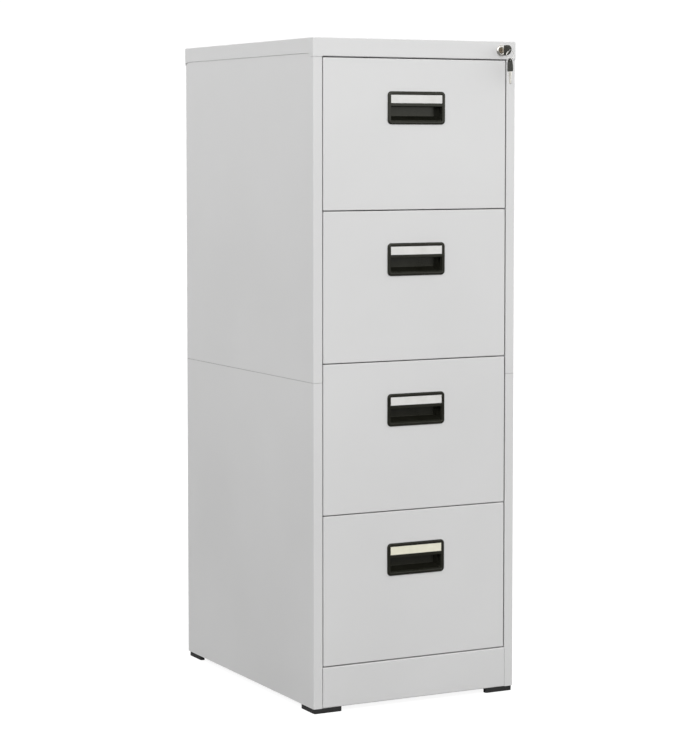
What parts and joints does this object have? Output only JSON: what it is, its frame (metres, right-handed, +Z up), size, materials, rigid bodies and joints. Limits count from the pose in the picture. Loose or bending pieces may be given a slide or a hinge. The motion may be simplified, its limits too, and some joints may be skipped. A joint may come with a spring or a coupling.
{
  "type": "metal filing cabinet",
  "caption": "Tall narrow steel filing cabinet with stacked drawers on full-extension slides, recessed pulls with label cards, and a keyed lock that bars every drawer.",
  "frame": {"origin": "floor level, bottom centre of the whole object's box, the key in the lock included", "axes": "+X to the right seen from the front, +Y to the back, +Z up"},
  "size_m": [0.46, 0.6601, 1.33],
  "materials": {
    "powder_coat": "light grey fine-textured powder coat on folded sheet steel, half matt",
    "zinc_plated_steel": "bright zinc plate on rolled steel",
    "handle_plastic": "moulded black-olive plastic, fine spark texture",
    "card": "plain uncoated card",
    "foot_plastic": "matt dark moulded pad",
    "nickel": "polished nickel plate, slightly worn",
    "key_plastic": "moulded black-olive plastic with a ribbed grip"
  },
  "bodies": {
    "cabinet": {"side_panel_upper_left": "powder_coat", "side_panel_upper_right": "powder_coat", "side_panel_lower_left": "powder_coat", "side_panel_lower_right": "powder_coat", "back_panel_upper": "powder_coat", "back_panel_lower": "powder_coat", "top_cap": "powder_coat", "base_pan": "powder_coat", "foot_front_left": "foot_plastic", "foot_front_right": "foot_plastic", "foot_rear_left": "foot_plastic", "foot_rear_right": "foot_plastic", "cabinet_rail_1_left": "zinc_plated_steel", "cabinet_rail_1_right": "zinc_plated_steel", "cabinet_rail_2_left": "zinc_plated_steel", "cabinet_rail_2_right": "zinc_plated_steel", "cabinet_rail_3_left": "zinc_plated_steel", "cabinet_rail_3_right": "zinc_plated_steel", "cabinet_rail_4_left": "zinc_plated_steel", "cabinet_rail_4_right": "zinc_plated_steel", "lock_barrel": "nickel", "lock_clip": "zinc_plated_steel"},
    "drawer_1": {"drawer_front_1": "powder_coat", "drawer_tub_1": "powder_coat", "handle_1": "handle_plastic", "label_card_1": "card", "drawer_rail_1_left": "zinc_plated_steel", "drawer_rail_1_right": "zinc_plated_steel"},
    "slide_1": {"mid_rail_1_left": "zinc_plated_steel", "mid_rail_1_right": "zinc_plated_steel"},
    "drawer_2": {"drawer_front_2": "powder_coat", "drawer_tub_2": "powder_coat", "handle_2": "handle_plastic", "label_card_2": "card", "drawer_rail_2_left": "zinc_plated_steel", "drawer_rail_2_right": "zinc_plated_steel"},
    "slide_2": {"mid_rail_2_left": "zinc_plated_steel", "mid_rail_2_right": "zinc_plated_steel"},
    "drawer_3": {"drawer_front_3": "powder_coat", "drawer_tub_3": "powder_coat", "handle_3": "handle_plastic", "label_card_3": "card", "drawer_rail_3_left": "zinc_plated_steel", "drawer_rail_3_right": "zinc_plated_steel"},
    "slide_3": {"mid_rail_3_left": "zinc_plated_steel", "mid_rail_3_right": "zinc_plated_steel"},
    "drawer_4": {"drawer_front_4": "powder_coat", "drawer_tub_4": "powder_coat", "handle_4": "handle_plastic", "label_card_4": "card", "drawer_rail_4_left": "zinc_plated_steel", "drawer_rail_4_right": "zinc_plated_steel"},
    "slide_4": {"mid_rail_4_left": "zinc_plated_steel", "mid_rail_4_right": "zinc_plated_steel"},
    "lock_plug": {"lock_plug": "nickel"},
    "lock_bar": {"lock_bar": "zinc_plated_steel"},
    "key": {"key_blade": "nickel", "key_head": "key_plastic"},
    "key_ring": {"key_ring": "nickel"}
  },
  "joints": [
    {"name": "drawer_1_slide", "type": "slide", "parent": "cabinet", "child": "drawer_1", "axis": [0, -1, 0], "range_m": [0, 0.5]},
    {"name": "mid_rails_1", "type": "slide", "parent": "cabinet", "child": "slide_1", "axis": [0, -1, 0], "range_m": [0, 0.25]},
    {"name": "drawer_2_slide", "type": "slide", "parent": "cabinet", "child": "drawer_2", "axis": [0, -1, 0], "range_m": [0, 0.5]},
    {"name": "mid_rails_2", "type": "slide", "parent": "cabinet", "child": "slide_2", "axis": [0, -1, 0], "range_m": [0, 0.25]},
    {"name": "drawer_3_slide", "type": "slide", "parent": "cabinet", "child": "drawer_3", "axis": [0, -1, 0], "range_m": [0, 0.5]},
    {"name": "mid_rails_3", "type": "slide", "parent": "cabinet", "child": "slide_3", "axis": [0, -1, 0], "range_m": [0, 0.25]},
    {"name": "drawer_4_slide", "type": "slide", "parent": "cabinet", "child": "drawer_4", "axis": [0, -1, 0], "range_m": [0, 0.5]},
    {"name": "mid_rails_4", "type": "slide", "parent": "cabinet", "child": "slide_4", "axis": [0, -1, 0], "range_m": [0, 0.25]},
    {"name": "lock_bar_lift", "type": "slide", "parent": "cabinet", "child": "lock_bar", "axis": [0, 0, 1], "range_m": [0, 0.00707]},
    {"name": "lock_turn", "type": "hinge", "parent": "cabinet", "child": "lock_plug", "pos_m": [0.195, -0.2926, 1.3115], "axis": [0, 1, 0], "range_deg": [0, 90]},
    {"name": "key_pull", "type": "slide", "parent": "lock_plug", "child": "key", "axis": [0, -1, 0], "range_m": [0, 0.02]},
    {"name": "ring_swing", "type": "hinge", "parent": "key", "child": "key_ring", "pos_m": [0.195, -0.3252, 1.31], "axis": [1, 0, 0], "range_deg": [-80, 10]}
  ],
  "couplings": [
    {"joint": "mid_rails_1", "follows": "drawer_1_slide", "ratio": 0.5},
    {"joint": "mid_rails_2", "follows": "drawer_2_slide", "ratio": 0.5},
    {"joint": "mid_rails_3", "follows": "drawer_3_slide", "ratio": 0.5},
    {"joint": "mid_rails_4", "follows": "drawer_4_slide", "ratio": 0.5},
    {"joint": "lock_turn", "follows": "lock_bar_lift", "rad_per_m": 222}
  ]
}
